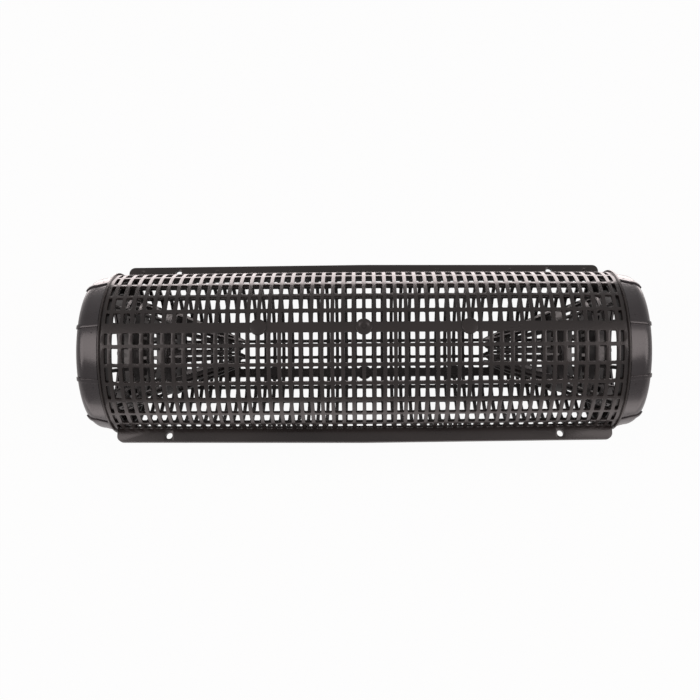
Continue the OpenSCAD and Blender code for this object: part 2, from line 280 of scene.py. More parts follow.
# %% Plain view of the tones
bpy.context.scene.view_settings.view_transform = "Standard"
print("view transform:", bpy.context.scene.view_settings.view_transform)

# %% [markdown]
# Black plastic is never one flat tone. It has faint clouds where it flowed into
# the mould, drawn out along the trap, and a fine grain that it took from the
# mould's wall. A picture could be wrapped round each piece, but that needs
# seams. Noise on object coordinates needs none, keeps its real size, and stays
# with a piece that moves.

# %% Noise for clouds and grain
CLOUD_SCALE, CLOUD_DETAIL = 38, 4
GRAIN_SCALE, GRAIN_DETAIL = 950, 2
ALONG_THE_FLOW = (0.35, 1, 1)
NOISE_LOW, NOISE_HIGH = 0.3, 0.7


def noise(tree, scale, detail, stretch=(1, 1, 1)):
    """Noise on object coordinates, which may be stretched along an axis."""
    place = tree.nodes.new("ShaderNodeTexCoord")
    mapping = tree.nodes.new("ShaderNodeMapping")
    mapping.inputs["Scale"].default_value = stretch
    texture = tree.nodes.new("ShaderNodeTexNoise")
    texture.inputs["Scale"].default_value = scale
    texture.inputs["Detail"].default_value = detail
    tree.links.new(place.outputs["Object"], mapping.inputs["Vector"])
    tree.links.new(mapping.outputs["Vector"], texture.inputs["Vector"])
    return texture.outputs["Fac"]


def spread(tree, factor, low, high):
    """Maps the noise's usual range to a range between two values."""
    ramp = tree.nodes.new("ShaderNodeMapRange")
    ramp.inputs["From Min"].default_value = NOISE_LOW
    ramp.inputs["From Max"].default_value = NOISE_HIGH
    ramp.inputs["To Min"].default_value = low
    ramp.inputs["To Max"].default_value = high
    tree.links.new(factor, ramp.inputs["Value"])
    return ramp.outputs["Result"]


print("clouds about", round(1 / CLOUD_SCALE / MM), "mm, grain about", round(1 / GRAIN_SCALE / MM, 1), "mm")

# %% [markdown]
# The plastic is tough and slightly waxy: a warm near-black that shines most
# where it is seen edge-on. That could be mixed by hand from a matt and a glossy
# shader. The Principled shader already has the right fall-off, and its coat
# adds the sharper gloss of the caps. The clouds drive both the colour and the
# roughness, so that a paler place is also a duller one, and the grain is a bump.

# %% Moulded plastic
PLASTIC_IOR = 1.45
COAT_ROUGHNESS = 0.16
GRAIN_STRENGTH, GRAIN_DEPTH = 0.12, 0.12 * MM


def moulded_plastic(name, dark, pale, smooth, rough, coat):
    """Black plastic whose colour, gloss and grain vary a little."""
    material, tree, out = node_material(name)
    shader = tree.nodes.new("ShaderNodeBsdfPrincipled")
    shader.inputs["IOR"].default_value = PLASTIC_IOR
    shader.inputs["Coat Weight"].default_value = coat
    shader.inputs["Coat Roughness"].default_value = COAT_ROUGHNESS
    cloud = noise(tree, CLOUD_SCALE, CLOUD_DETAIL, ALONG_THE_FLOW)
    colour = tree.nodes.new("ShaderNodeMix")
    colour.data_type = "RGBA"
    colour.inputs["A"].default_value = (*dark, 1)
    colour.inputs["B"].default_value = (*pale, 1)
    tree.links.new(spread(tree, cloud, 0, 1), colour.inputs["Factor"])
    tree.links.new(colour.outputs["Result"], shader.inputs["Base Color"])
    tree.links.new(spread(tree, cloud, smooth, rough), shader.inputs["Roughness"])
    grain = tree.nodes.new("ShaderNodeBump")
    grain.inputs["Strength"].default_value = GRAIN_STRENGTH
    grain.inputs["Distance"].default_value = GRAIN_DEPTH
    tree.links.new(noise(tree, GRAIN_SCALE, GRAIN_DETAIL), grain.inputs["Height"])
    tree.links.new(grain.outputs["Normal"], shader.inputs["Normal"])
    tree.links.new(shader.outputs[0], out.inputs["Surface"])
    print(name, "roughness", smooth, "to", rough, "coat", coat)
    return material


SHELL_BLACK = moulded_plastic(
    "shell_plastic", dark=(0.015, 0.012, 0.0115), pale=(0.025, 0.020, 0.019),
    smooth=0.22, rough=0.34, coat=0.1,
)

# %% [markdown]
# The caps, funnels and fingers come from other moulds, and each batch of black
# differs a little. One material for the whole trap would look like one casting.
# The caps are the glossiest and a touch cooler, and the funnels and fingers,
# which lie in the shade of the tube, are a little rougher.

# %% The other three plastics
CAP_BLACK = moulded_plastic(
    "cap_plastic", dark=(0.018, 0.014, 0.016), pale=(0.030, 0.025, 0.028),
    smooth=0.22, rough=0.34, coat=0.4,
)
FUNNEL_BLACK = moulded_plastic(
    "funnel_plastic", dark=(0.014, 0.012, 0.012), pale=(0.024, 0.021, 0.020),
    smooth=0.26, rough=0.38, coat=0.15,
)
FINGER_BLACK = moulded_plastic(
    "finger_plastic", dark=(0.013, 0.010, 0.010), pale=(0.022, 0.018, 0.0175),
    smooth=0.26, rough=0.38, coat=0.1,
)

# %% [markdown]
# The tube is two mouldings that clip together. Each is a half pipe of hoops and
# lengthwise bars, with a wide spine along its crest. The hoops stand a little
# wider in the middle of the trap than at its ends. That could be left out, as
# it is less than a millimetre, but it gives the outline its slight belly, so
# one small function returns the radius, and the lattice and the flanges ask it.

# %% Sizes of the tube
TUBE_R, TUBE_END_R, WALL = 54.2 * MM, 53.3 * MM, 1.9 * MM
HOOP_PITCH, HOOP_W, HOOPS_EACH_SIDE = 6.65 * MM, 2.4 * MM, 24
LAST_HOOP = HOOPS_EACH_SIDE * HOOP_PITCH + HOOP_W / 2


def tube_radius(x):
    """Outer radius of the slight belly at a distance along the trap."""
    share = min(abs(x) / (HOOPS_EACH_SIDE * HOOP_PITCH), 1)
    return TUBE_R - (TUBE_R - TUBE_END_R) * share**2


print("belly", round((tube_radius(0) - tube_radius(LAST_HOOP)) / MM, 2), "mm")

# %% [markdown]
# A lattice is easiest to describe by its holes. Listing several hundred windows
# one by one would be long and easy to get wrong. They stand in rows and
# columns, so two short lists are enough: where each row starts and ends round
# the tube, in degrees from the spine, and where each column starts and ends
# along it. The last column at each end is a narrow slot before the end band.

# %% Rows and columns of windows
SPINE_W, BAR_W = 6.5 * MM, 2.2 * MM
FIRST_BAR, BAR_STEP, BARS_EACH_SIDE = 12.5, 13.0, 6
ROOT_ANGLE = 87.5
END_SLOT_W = 2.2 * MM


def window_rows():
    """Start and end of each row of windows on one side of the spine, in degrees."""
    spine = math.degrees(math.asin(SPINE_W / 2 / TUBE_R))
    bar = math.degrees(math.asin(BAR_W / 2 / TUBE_R))
    edges = [spine]
    for i in range(BARS_EACH_SIDE):
        edges += [FIRST_BAR + i * BAR_STEP - bar, FIRST_BAR + i * BAR_STEP + bar]
    edges.append(ROOT_ANGLE)
    return list(zip(edges[::2], edges[1::2]))


def window_columns():
    """Start and end of each column of windows along the trap."""
    columns = []
    for k in range(-HOOPS_EACH_SIDE, HOOPS_EACH_SIDE):
        columns.append((k * HOOP_PITCH + HOOP_W / 2, (k + 1) * HOOP_PITCH - HOOP_W / 2))
    columns.append((LAST_HOOP, LAST_HOOP + END_SLOT_W))
    columns.append((-LAST_HOOP - END_SLOT_W, -LAST_HOOP))
    return sorted(columns)


ROWS = window_rows()
COLUMNS = window_columns()
print("windows in one half:", 2 * len(ROWS) * len(COLUMNS))

# %% [markdown]
# The lattice could be cut out of a half pipe with hundreds of booleans, or laid
# up bar by bar with a knot at every crossing. It is quicker and cleaner to
# unroll the half pipe into a flat grid, and to move the grid's lines to the
# edges of the windows. One more line through the middle of each row lets the
# hoops bend smoothly later.

# %% A flat sheet ruled at the window edges
QUARTER = 90.0


def ruled_grid(across, along):
    """A flat grid whose lines are moved to the given distances."""
    bm = bmesh.new()
    bmesh.ops.create_grid(bm, x_segments=len(across) - 1, y_segments=len(along) - 1, size=1)
    for vert in bm.verts:
        i = round((vert.co.x + 1) / 2 * (len(across) - 1))
        j = round((vert.co.y + 1) / 2 * (len(along) - 1))
        vert.co = Vector((across[i], along[j], 0))
    return bm


lines_across = [-TUBE_HALF] + [x for column in COLUMNS for x in column] + [TUBE_HALF]
one_side = []
for start, end in ROWS:
    one_side += [start, (start + end) / 2, end]
one_side.append(QUARTER)
both_sides = [-angle for angle in one_side[::-1]] + [0.0] + one_side
lattice = ruled_grid(lines_across, [math.radians(angle) * TUBE_R for angle in both_sides])
print("flat sheet:", len(lattice.faces), "cells")

# %% [markdown]
# The windows of a moulding have round corners, because a sharp one would crack
# and would cling to the steel of the mould. Rounding the finished bars would
# be awkward. In the flat sheet each corner is a single vertex, so a vertex
# bevel rounds it first, and then the faces of the windows are deleted.

# %% Open the windows
WINDOW_CORNER = 0.65 * MM
CORNER_STEPS = 2
ROW_MARGIN = 0.01


def inside(value, spans, margin=0.01 * MM):
    """Whether a value lies well inside one of the spans."""
    return any(low + margin < value < high - margin for low, high in spans)


def open_windows(bm, is_window, corner):
    """Rounds the corners of the windows, then deletes their faces."""
    windows = {face for face in bm.faces if is_window(face.calc_center_median())}
    corners = [
        vert
        for vert in bm.verts
        if len(vert.link_faces) == 4 and sum(face in windows for face in vert.link_faces) == 1
    ]
    bmesh.ops.bevel(
        bm, geom=corners, offset=corner, segments=CORNER_STEPS, profile=0.5, affect="VERTICES", material=-1
    )
    gone = [face for face in bm.faces if is_window(face.calc_center_median())]
    bmesh.ops.delete(bm, geom=gone, context="FACES")
    return len(corners)


def in_tube_window(place):
    """Whether a place on the flat sheet lies in a window of the tube."""
    angle = math.degrees(abs(place.y) / TUBE_R)
    return inside(place.x, COLUMNS) and inside(angle, ROWS, ROW_MARGIN)


print("corners rounded:", open_windows(lattice, in_tube_window, WINDOW_CORNER))

# %% [markdown]
# The sheet now gets its wall. A Solidify modifier could do it, but the windows
# have to be finished before the sheet is bent, so the operator is used on the
# bmesh. The edges are then rounded, because a real edge always catches a thin
# line of light. The inner edges are seen from far away and get one face each,
# the outer ones two.

# %% Thickness and soft edges
EDGE_SOFT = 0.32 * MM
SHARP_EDGE = 60


def thicken(bm, thickness):
    """Gives a flat sheet its thickness, with its upper side at height 0."""
    bmesh.ops.recalc_face_normals(bm, faces=bm.faces)
    bmesh.ops.solidify(bm, geom=bm.faces[:] + bm.edges[:] + bm.verts[:], thickness=thickness)
    top = max(vert.co.z for vert in bm.verts)
    bmesh.ops.translate(bm, vec=(0, 0, -top), verts=bm.verts)
    bmesh.ops.recalc_face_normals(bm, faces=bm.faces)


def soften(bm, width, sharper_than=SHARP_EDGE, segments=2, below=None):
    """Rounds every edge sharper than an angle in degrees, or only those below a height."""
    limit = math.radians(sharper_than)
    edges = [
        edge
        for edge in bm.edges
        if len(edge.link_faces) == 2
        and edge.calc_face_angle() > limit
        and (below is None or all(vert.co.z < below for vert in edge.verts))
    ]
    bmesh.ops.bevel(
        bm, geom=edges, offset=width, segments=segments, profile=0.5, affect="EDGES", material=-1,
        clamp_overlap=True,
    )


thicken(lattice, WALL)
soften(lattice, EDGE_SOFT, segments=1, below=-WALL / 2)
soften(lattice, EDGE_SOFT)
print("lattice:", len(lattice.faces), "faces")

# %% [markdown]
# Last, the flat lattice is rolled into half a pipe. A Simple Deform modifier
# can bend a sheet, but it knows nothing of the belly. Moving each vertex by a
# formula is exact: its distance across the sheet becomes an angle, and its
# height becomes a change of radius.

# %% Bend the sheet into half a pipe
def around(x, angle, radius):
    """The point at an angle round the trap's axis, counted from the top."""
    return Vector((x, -radius * math.sin(angle), radius * math.cos(angle)))


for vert in lattice.verts:
    vert.co = around(vert.co.x, vert.co.y / TUBE_R, tube_radius(vert.co.x) + vert.co.z)
print("crest at", round(max(vert.co.z for vert in lattice.verts) / MM, 2), "mm")

# %% [markdown]
# The flanges are the flat wings where the two halves meet. Each has two holes
# for the trap's line, and the far one has seven small holes for the other
# half's clip pegs. A boolean leaves long thin faces round a hole. Here one cell
# of a grid is taken out, a ring of edges is put in its place, and bridge_loops
# joins the ring to the cell's border. The outer edge is bowed by moving its
# vertices.

# %% Flat plates with round holes
FLANGE_HALF, FLANGE_END = 164.5 * MM, 62 * MM
HOLE_R, HOLE_X, HOLE_Y = 2.25 * MM, 130 * MM, 58 * MM
PEG_R, PEG_PITCH, PEGS_EACH_SIDE, PEG_REACH = 1.3 * MM, 51.8 * MM, 3, 4.4 * MM
PEG_PLACES = [k * PEG_PITCH for k in range(-PEGS_EACH_SIDE, PEGS_EACH_SIDE + 1)]
HOLE_CELL, HOLE_SIDES = 3.4 * MM, 24


def pierce(bm, x, y, radius):
    """Swaps the grid cell round a point for a round hole."""
    cell = next(
        face
        for face in bm.faces
        if abs(face.calc_center_median().x - x) < HOLE_CELL / 2 and len(face.verts) == 4
    )
    border = list(cell.edges)
    bmesh.ops.delete(bm, geom=[cell], context="FACES_ONLY")
    middle = Matrix.Translation((x, y, 0))
    ring = bmesh.ops.create_circle(bm, segments=HOLE_SIDES, radius=radius, matrix=middle)["verts"]
    loop = list({edge for vert in ring for edge in vert.link_edges})
    bmesh.ops.bridge_loops(bm, edges=border + loop)


def flange_plate(holes, middle_line):
    """A flat bowed plate along the tube, with round holes of (x, y, radius)."""
    lines = {-FLANGE_HALF, FLANGE_HALF, *middle_line}
    for x, _, _ in holes:
        lines |= {x - HOLE_CELL, x + HOLE_CELL}
    inner = TUBE_R - WALL / 2
    bm = ruled_grid(sorted(lines), [inner, FLANGE_MID])
    for vert in bm.verts:
        if vert.co.y > inner + MM:
            vert.co.y = FLANGE_MID - (FLANGE_MID - FLANGE_END) * abs(vert.co.x) / FLANGE_HALF
        else:
            vert.co.y = tube_radius(vert.co.x) - WALL / 2
    for x, y, radius in holes:
        pierce(bm, x, y, radius)
    return bm


line_holes = [(x, HOLE_Y, HOLE_R) for x in (-HOLE_X, HOLE_X)]
peg_holes = [(x, tube_radius(x) + PEG_REACH, PEG_R) for x in PEG_PLACES]
far_flange = flange_plate(line_holes + peg_holes, middle_line=[])
near_flange = flange_plate(line_holes, middle_line=[0.0])
print("holes:", len(line_holes + peg_holes), "far,", len(line_holes), "near")

# %% [markdown]
# Each plate gets the round outer corners, the wall and the soft edges of the
# real flange. The near one could be drawn again on the other side. Mirroring
# it is safer, but a mirror turns a shape inside out and keeps the old half, so
# the old half is deleted and the faces are turned outwards again.

# %% Finish the two flanges
FLANGE_T, FLANGE_SOFT = 2 * MM, 0.28 * MM
FLANGE_CORNER, FLANGE_CORNER_STEPS = 4 * MM, 6


def finish_plate(bm):
    """Rounds a plate's outer corners and gives it its thickness, on the parting plane."""
    corners = [v for v in bm.verts if abs(v.co.x) > FLANGE_HALF - MM and v.co.y > FLANGE_END - MM]
    bmesh.ops.bevel(
        bm, geom=corners, offset=FLANGE_CORNER, segments=FLANGE_CORNER_STEPS, profile=0.5,
        affect="VERTICES", material=-1,
    )
    thicken(bm, FLANGE_T)
    soften(bm, FLANGE_SOFT)
    bmesh.ops.translate(bm, vec=(0, 0, FLANGE_T), verts=bm.verts)


def move_to_near_side(bm):
    """Replaces a shape on the far side of the trap by its mirror image."""
    bmesh.ops.mirror(bm, geom=bm.verts[:] + bm.edges[:] + bm.faces[:], axis="Y", merge_dist=0)
    bmesh.ops.delete(bm, geom=[v for v in bm.verts if v.co.y > 0], context="VERTS")
    bmesh.ops.recalc_face_normals(bm, faces=bm.faces)


finish_plate(far_flange)
finish_plate(near_flange)
move_to_near_side(near_flange)
print("flange faces:", len(far_flange.faces), "far,", len(near_flange.faces), "near")

# %% [markdown]
# Clip pegs on the near flange press into the holes of the other half and hold
# the tube shut. Each could be a plain cylinder, but where it comes out of the
# hole it would look cut off, so the rim of its tip is bevelled. The other end
# is sunk into the flange and needs no finish.

# %% Clip pegs
PEG_PROUD, PEG_SUNK = 0.7 * MM, 0.4 * MM
PEG_TIP, PEG_TIP_STEPS, PEG_SIDES = 0.45 * MM, 3, 20


def peg(x):
    """A clip peg with a rounded tip, pointing down from the near flange."""
    bm = bmesh.new()
    depth = FLANGE_T + PEG_PROUD + PEG_SUNK
    bmesh.ops.create_cone(
        bm, cap_ends=True, segments=PEG_SIDES, radius1=PEG_R, radius2=PEG_R, depth=depth,
        matrix=Matrix.Translation((x, -tube_radius(x) - PEG_REACH, PEG_SUNK - depth / 2)),
    )
    tip = [edge for edge in bm.edges if all(vert.co.z < -FLANGE_T for vert in edge.verts)]
    bmesh.ops.bevel(
        bm, geom=tip, offset=PEG_TIP, segments=PEG_TIP_STEPS, profile=0.5, affect="EDGES", material=-1
    )
    return bm


pegs = [peg(x) for x in PEG_PLACES]
print("pegs:", len(pegs))

# %% [markdown]
# Three round pads sit on the spine, and the trap lies on them. The middle one
# is dished round the spot where the plastic was injected, with a low nub left
# in it. It could be a spun outline, but a disc whose top face is inset a few
# times gives the same steps and keeps the rim free for its bevel.

# %% Pads on the spine
PAD_R, PAD_T, PAD_SPACING = 5.15 * MM, 2 * MM, 66.5 * MM
PAD_SOFT, PAD_SOFT_STEPS, PAD_SIDES = 0.3 * MM, 3, 40
GATE_R, GATE_DEPTH, GATE_SLOPE = 3.5 * MM, 0.5 * MM, 0.8 * MM
NUB_R, NUB_SLOPE, NUB_H = 1.5 * MM, 0.3 * MM, 0.4 * MM
FACING_UP = 0.9
HAIR = 0.001 * MM


def dish(bm, face):
    """Sinks a pad's top face round a low nub."""
    bmesh.ops.inset_region(bm, faces=[face], thickness=PAD_R - GATE_R)
    bmesh.ops.inset_region(bm, faces=[face], thickness=GATE_SLOPE)
    bmesh.ops.translate(bm, vec=(0, 0, -GATE_DEPTH), verts=face.verts)
    bmesh.ops.inset_region(bm, faces=[face], thickness=GATE_R - NUB_R - GATE_SLOPE)
    bmesh.ops.inset_region(bm, faces=[face], thickness=NUB_SLOPE)
    bmesh.ops.translate(bm, vec=(0, 0, NUB_H), verts=face.verts)


def pad(x, dished):
    """A round pad whose flat face is the highest place on the shell."""
    bm = bmesh.new()
    bmesh.ops.create_cone(
        bm, cap_ends=True, segments=PAD_SIDES, radius1=PAD_R, radius2=PAD_R, depth=PAD_T,
        matrix=Matrix.Translation((x, 0, PAD_Z - PAD_T / 2)),
    )
    rim = [edge for edge in bm.edges if all(vert.co.z > PAD_Z - HAIR for vert in edge.verts)]
    if dished:
        dish(bm, next(face for face in bm.faces if face.normal.z > FACING_UP))
    bmesh.ops.bevel(
        bm, geom=rim, offset=PAD_SOFT, segments=PAD_SOFT_STEPS, profile=0.5, affect="EDGES", material=-1
    )
    return bm


pads = [pad(k * PAD_SPACING, dished=k == 0) for k in (-1, 0, 1)]
print("pads:", len(pads), "with their faces at", round(PAD_Z / MM, 1), "mm")

# %% [markdown]
# A thin raised collar runs round each end of the half pipe, where the cap's
# edge comes to rest. A torus would be too round for its square section. Such
# rings, and the caps later, are turned shapes: a closed outline of radius and
# distance is spun about the trap's axis. A full turn merges its two ends, and
# a part of one keeps them closed with its first and last face.

# %% Collars
COLLAR_R, COLLAR_W, COLLAR_SOFT = 54.6 * MM, 1.2 * MM, 0.3 * MM
COLLAR_STEPS = 72
FULL_TURN = 360
ARC_SHARP_EDGE = 40


def arc_solid(outline, start, sweep, steps, soft=0.0):
    """Spins a closed outline of (radius, x) about the trap's axis, from a start angle."""
    bm = bmesh.new()
    verts = [bm.verts.new((x, 0, radius)) for radius, x in outline]
    face = bm.faces.new(verts)
    full = sweep == FULL_TURN
    geom = verts + list(face.edges)
    if full:
        bmesh.ops.delete(bm, geom=[face], context="FACES_ONLY")
    else:
        geom.append(face)
    turn = Matrix.Rotation(math.radians(start), 3, "X")
    bmesh.ops.rotate(bm, verts=verts, cent=(0, 0, 0), matrix=turn)
    bmesh.ops.spin(
        bm, geom=geom, cent=(0, 0, 0), axis=(1, 0, 0), dvec=(0, 0, 0),
        angle=math.radians(sweep), steps=steps, use_merge=full,
    )
    bmesh.ops.remove_doubles(bm, verts=bm.verts, dist=HAIR)
    bmesh.ops.recalc_face_normals(bm, faces=bm.faces)
    if soft:
        soften(bm, soft, ARC_SHARP_EDGE)
    return bm


def collar(side):
    """The thin raised ring at one end of the half pipe."""
    low, high = sorted((side * (TUBE_HALF - COLLAR_W), side * TUBE_HALF))
    inner = TUBE_END_R - WALL / 2
    outline = [(inner, low), (COLLAR_R, low), (COLLAR_R, high), (inner, high)]
    return arc_solid(outline, -QUARTER, 2 * QUARTER, COLLAR_STEPS, COLLAR_SOFT)


collars = [collar(side) for side in (-1, 1)]
print("collar faces:", len(collars[0].faces))

# %% [markdown]
# The lattice, flanges, pegs, pads and collars come out of the mould as one
# piece, so they are gathered in one mesh. A boolean union would weld them, but
# it would also break up the clean faces. Each part is closed and reaches into
# its neighbour instead, which looks the same from outside. The two halves are
# the same moulding: the lower one is a copy that is turned over.

# %% The two half shells
SMOOTH_ANGLE = math.radians(42)


def add(target, source):
    """Adds one bmesh to another and frees it."""
    mesh = bpy.data.meshes.new("part")
    source.to_mesh(mesh)
    source.free()
    target.from_mesh(mesh)
    bpy.data.meshes.remove(mesh)


def piece(name, bm, material, node, body):
    """Turns a bmesh into an object that stands for a node and rides on its body."""
    mesh = bpy.data.meshes.new(name)
    bm.to_mesh(mesh)
    bm.free()
    mesh.materials.append(material)
    mesh.shade_smooth()
    mesh.set_sharp_from_angle(angle=SMOOTH_ANGLE)
    thing = bpy.data.objects.new(name, mesh)
    bpy.context.scene.collection.objects.link(thing)
    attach(thing, body)
    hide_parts(node)
    print(name, len(mesh.polygons), "faces")


for part in [far_flange, near_flange] + pegs + pads + collars:
    add(lattice, part)
turned_over = lattice.copy()
half_turn_over = Matrix.Rotation(math.pi, 3, "X")
bmesh.ops.rotate(turned_over, verts=turned_over.verts, cent=(0, 0, 0), matrix=half_turn_over)
piece("upper_half", lattice, SHELL_BLACK, "upper_shell", "shell")
piece("lower_half", turned_over, SHELL_BLACK, "lower_shell", "shell")

# %% [markdown]
# The end cap is a short barrel that tapers, then rolls over a wide shoulder to
# the open mouth. A cylinder with a big bevel comes close, but its wall would be
# as thick at the lip as at the rim. An outline gives each its own thickness.
# The shoulder is an arc from a small function, which the grip ribs and the
# funnel use again, so that all three curves keep one centre.

# %% Outline of a cap
CAP_R, CAP_FRONT_R, CAP_WALL = 52.8 * MM, 51 * MM, 3 * MM
CAP_BORE = CAP_R - CAP_WALL
CAP_EDGE_SOFT = 0.5 * MM
SHOULDER_R, CAP_BEYOND_TUBE = 8.4 * MM, 16.4 * MM
SHOULDER_X = TUBE_HALF + CAP_BEYOND_TUBE - SHOULDER_R
SHOULDER_CENTRE = CAP_FRONT_R - SHOULDER_R
STEP_BEHIND_SHOULDER = 2 * MM
STEP_X = SHOULDER_X - STEP_BEHIND_SHOULDER
MOUTH_ANGLE, LIP_ROUND, LIP_T = 62, 3, 2.2 * MM
SHOULDER_STEPS = 8


def shoulder_point(radius, angle):
    """One point of (radius, x) round the shoulder, at an angle in degrees."""
    a = math.radians(angle)
    return (SHOULDER_CENTRE + radius * math.cos(a), SHOULDER_X + radius * math.sin(a))


def shoulder(radius, first, last, steps=SHOULDER_STEPS):
    """Points of (radius, x) round the shoulder between two angles in degrees."""
    return [shoulder_point(radius, first + (last - first) * i / steps) for i in range(steps + 1)]


def cap_outline():
    """Closed outline of the cap's wall as (radius, x)."""
    return (
        [(CAP_BORE, CAP_START), (CAP_R - CAP_EDGE_SOFT, CAP_START), (CAP_R, CAP_START + CAP_EDGE_SOFT)]
        + shoulder(SHOULDER_R, 0, MOUTH_ANGLE - LIP_ROUND)
        + [shoulder_point(SHOULDER_R - LIP_T / 2, MOUTH_ANGLE)]
        + shoulder(SHOULDER_R - LIP_T, MOUTH_ANGLE - LIP_ROUND, 0)
        + [(CAP_FRONT_R - LIP_T, STEP_X), (CAP_BORE, STEP_X)]
    )


print("cap outline:", len(cap_outline()), "points")

# %% [markdown]
# Nine ribs give the fingers of a hand a grip when the cap is turned. Each could
# be a bent box, but it has to follow the barrel and the shoulder closely. So
# its side view is drawn with the same arc as the cap, a little outside it and a
# little inside, and spun by the few degrees of its width.

# %% Grip ribs
GRIP_COUNT, GRIP_W, GRIP_H, GRIP_SUNK = 9, 3 * MM, 0.9 * MM, 0.6 * MM
GRIP_SHORT, GRIP_SOFT = 5, 0.3 * MM
GRIP_DEGREES = math.degrees(GRIP_W / CAP_R)


def grip_rib(angle):
    """One rib that follows the barrel and the shoulder."""
    last = MOUTH_ANGLE - GRIP_SHORT
    outer = [(CAP_R + GRIP_H, CAP_START)] + shoulder(SHOULDER_R + GRIP_H, 0, last)
    inner = shoulder(SHOULDER_R - GRIP_SUNK, last, 0) + [(CAP_R - GRIP_SUNK, CAP_START)]
    return arc_solid(outer + inner, angle - GRIP_DEGREES / 2, GRIP_DEGREES, 1, GRIP_SOFT)


print("a grip rib takes", round(GRIP_DEGREES, 2), "degrees")

# %% [markdown]
# Small round marks beside the ribs show where pins pushed the cap out of its
# mould. They stand a quarter of a millimetre proud, so a bump in the material
# could fake them, but real geometry keeps them in every view. Each is a short
# cone that is sunk into the barrel.

# %% Ejector marks
PIP_R, PIP_H, PIP_IN = 0.8 * MM, 0.25 * MM, 4.4 * MM
PIP_ANGLE, PIP_TAPER, PIP_DEPTH, PIP_SIDES = 5.4, 0.7, 1 * MM, 16


def cap_side(depth):
    """Outer radius of the barrel at a distance from its open edge."""
    return CAP_R - (CAP_R - CAP_FRONT_R) * depth / (SHOULDER_X - CAP_START)


def ejector_mark(angle):
    """One small round mark on the barrel."""
    bm = bmesh.new()
    top = cap_side(PIP_IN) + PIP_H
    bmesh.ops.create_cone(
        bm, cap_ends=True, segments=PIP_SIDES, radius1=PIP_R, radius2=PIP_R * PIP_TAPER, depth=PIP_DEPTH,
        matrix=Matrix.Translation((CAP_START + PIP_IN, 0, top - PIP_DEPTH / 2)),
    )
    turn = Matrix.Rotation(math.radians(angle), 3, "X")
    bmesh.ops.rotate(bm, verts=bm.verts, cent=(0, 0, 0), matrix=turn)
    return bm


print("barrel radius at a mark", round(cap_side(PIP_IN) / MM, 2), "mm")

# %% [markdown]
# Both caps are drawn on the right, and the left one is given a half turn about
# the vertical. A mirror would also bring it there, but a mirror image isn't the
# same moulding. A half turn also reverses the way round, so the ribs of the
# left cap start on the other side of the top.

# %% The two end caps
GRIP_START = 3.3
CAP_STEPS = 144


def cap(first_rib):
    """One end cap, drawn on the right, with its first rib at an angle from the top."""
    bm = arc_solid(cap_outline(), 0, FULL_TURN, CAP_STEPS)
    for k in range(GRIP_COUNT):
        angle = first_rib + k * FULL_TURN / GRIP_COUNT
        add(bm, grip_rib(angle))
        add(bm, ejector_mark(angle + (PIP_ANGLE if k % 2 else -PIP_ANGLE)))
    return bm


def at_left(bm):
    """Turns a right-hand piece to the left end."""
    bmesh.ops.rotate(bm, verts=bm.verts, cent=(0, 0, 0), matrix=Matrix.Rotation(math.pi, 3, "Z"))
    return bm


piece("right_end_cap", cap(-GRIP_START), CAP_BLACK, "right_cap", "right_cap")
piece("left_end_cap", at_left(cap(GRIP_START)), CAP_BLACK, "left_cap", "left_cap")

# %% [markdown]
# The funnel leads the fish in: a cone of lengthwise ribs, crossed by rings. It
# could be laid up rib by rib, but a cone unrolls just as the tube does, into a
# fan, so the same way of ruling a sheet and opening its windows serves again.
# Only one thing is new: the ribs keep their width while the cone narrows, so
# the angle that a rib takes grows towards the throat.

# %% Sizes of a funnel
TIP_R, TIP_MIDDLE_X, CONE_SLOPE = 8 * MM, 82 * MM, 0.384996
HINGE_X, THROAT_W = 128 * MM, 5.2 * MM
FUNNEL_MOUTH_X, FUNNEL_WALL = 170 * MM, 1.8 * MM
RIB_COUNT, RIB_W = 16, 2.2 * MM
RIB_STEP = FULL_TURN / RIB_COUNT
RING_W, WIDE_RING_W = 1.8 * MM, 3.5 * MM
RINGS = [(139.6 * MM, RING_W), (146 * MM, WIDE_RING_W), (155.1 * MM, RING_W), (164.6 * MM, RING_W)]


def cone_radius(x):
    """Middle radius of the funnel's wall."""
    return TIP_R + (x - TIP_MIDDLE_X) * CONE_SLOPE


def funnel_rows():
    """Start and end of each row of windows between the rings."""
    starts = [HINGE_X + THROAT_W] + [x + width for x, width in RINGS]
    ends = [x for x, _ in RINGS] + [FUNNEL_MOUTH_X]
    return list(zip(starts, ends))


def rib_half(x):
    """Half the angle that a rib takes at a distance along the trap, in degrees."""
    return math.degrees(math.asin(RIB_W / 2 / cone_radius(x)))


FUNNEL_ROWS = funnel_rows()
print("a rib takes", round(2 * rib_half(HINGE_X), 1), "degrees at the throat")
print("and", round(2 * rib_half(FUNNEL_MOUTH_X), 1), "degrees at the mouth")

# %% [markdown]
# Windows could be cut in the finished cone, but on a cone every cut is skew. In
# the flat fan each line is simply placed by an angle and a distance. A rib has
# a line on both edges, and a window two lines between them, which keep the
# rings round later. A seam through a window would spoil its corners, so the
# fan's two sides meet along the middle of a rib.

# %% The fan, ruled and opened
FACE_GAP = 0.3 * MM
NOSE_R, NOSE_ANGLE = SHOULDER_R - LIP_T - FACE_GAP, 42
FUNNEL_END = SHOULDER_X + NOSE_R * math.sin(math.radians(NOSE_ANGLE))
LINES_PER_RIB = 6
FUNNEL_CORNER = 0.6 * MM
RIB_MARGIN = 0.3


def fan_angle(line, x):
    """Angle of one of the fan's lines at a distance along the trap, in degrees."""
    half = rib_half(x)
    gap = RIB_STEP - 2 * half
    offsets = [0, half, half + gap / 3, half + 2 * gap / 3, half + gap, RIB_STEP - half / 2]
    rib, part = divmod(line, LINES_PER_RIB)
    return RIB_STEP * (rib + 0.5) + offsets[part]


def cone_angle(place):
    """Angle round the trap's axis that a place on the flat fan will have."""
    return place.y / cone_radius(place.x)


